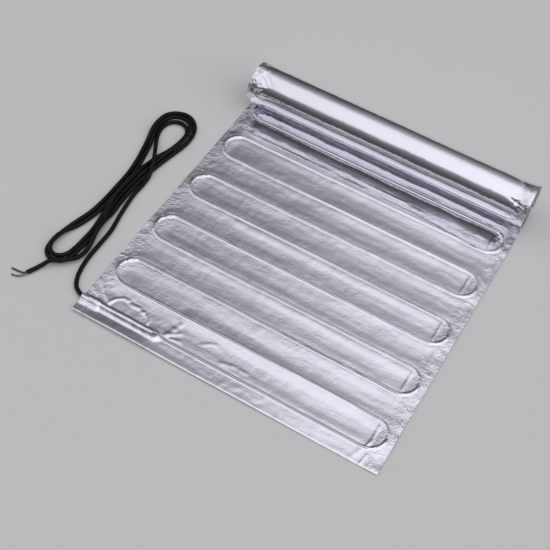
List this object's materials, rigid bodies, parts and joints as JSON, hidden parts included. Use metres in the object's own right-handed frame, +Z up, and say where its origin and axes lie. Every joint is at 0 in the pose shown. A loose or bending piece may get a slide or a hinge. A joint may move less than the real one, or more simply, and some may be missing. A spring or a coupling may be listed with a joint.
{
  "type": "underfloor heating mat",
  "caption": "Foil underfloor heating mat with a cable in parallel runs between two foils, partly rolled up, and a black cold lead in a loose hank.",
  "frame": {"origin": "on the floor, under the middle of the foil mat, without the cold lead", "axes": "+Z up, +X along the roll's axis and the cable runs, +Y from the free end towards the roll"},
  "size_m": [0.6181, 0.565, 0.074],
  "materials": {
    "base_foil": "smooth foil laminate",
    "cover_foil": "finely wrinkled foil laminate",
    "heating_cable": "extruded sheath",
    "rolled_foil": "smooth foil laminate, bright",
    "joint_sleeve": "shrunk sleeve",
    "black_sheath": "satin sheath",
    "brown_core": "core insulation",
    "cream_core": "core insulation"
  },
  "bodies": {
    "root": {"base_foil": "base_foil", "cover_foil": "cover_foil", "heating_cable": "heating_cable", "rolled_mat": "rolled_foil", "cold_lead_joint": "joint_sleeve", "cold_lead": "black_sheath", "cold_lead_hank": "black_sheath", "cold_lead_tail": "black_sheath", "brown_core": "brown_core", "cream_core": "cream_core"}
  },
  "joints": []
}
